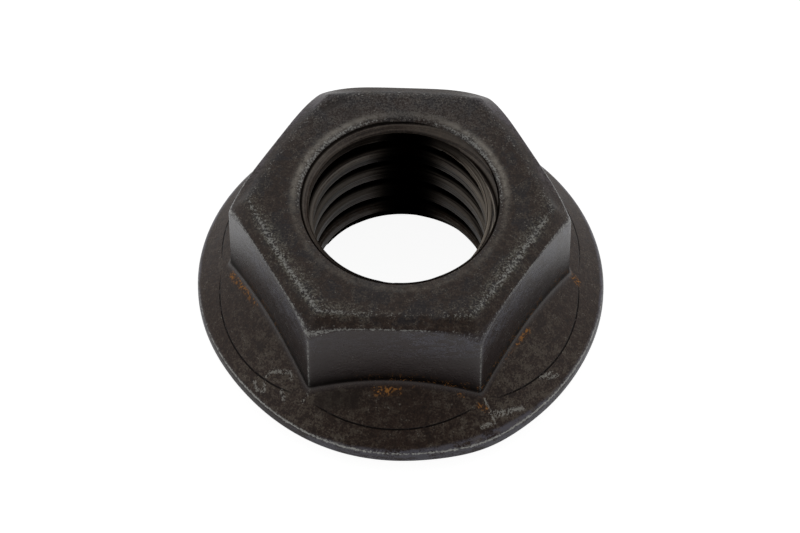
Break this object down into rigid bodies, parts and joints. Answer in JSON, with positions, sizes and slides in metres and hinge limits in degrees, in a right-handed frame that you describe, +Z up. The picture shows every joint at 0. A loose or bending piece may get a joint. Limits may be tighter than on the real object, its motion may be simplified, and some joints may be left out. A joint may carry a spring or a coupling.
{
  "type": "serrated flange nut",
  "caption": "One-piece hexagon nut with a wide conical flange, a coarse right-hand thread and ratchet serrations under the flange.",
  "frame": {"origin": "centre of the thread axis in the plane of the serration tips, which is the bottom of the nut", "axes": "+Z up along the thread axis from the flange to the hexagon's top face; two flats face +Y and -Y"},
  "size_m": [0.0262, 0.0262, 0.0111],
  "materials": {
    "blackened_steel": "blackened steel, dull, worn bright on edges and thread crests"
  },
  "bodies": {
    "root": {"flange_nut": "blackened_steel"}
  },
  "joints": []
}
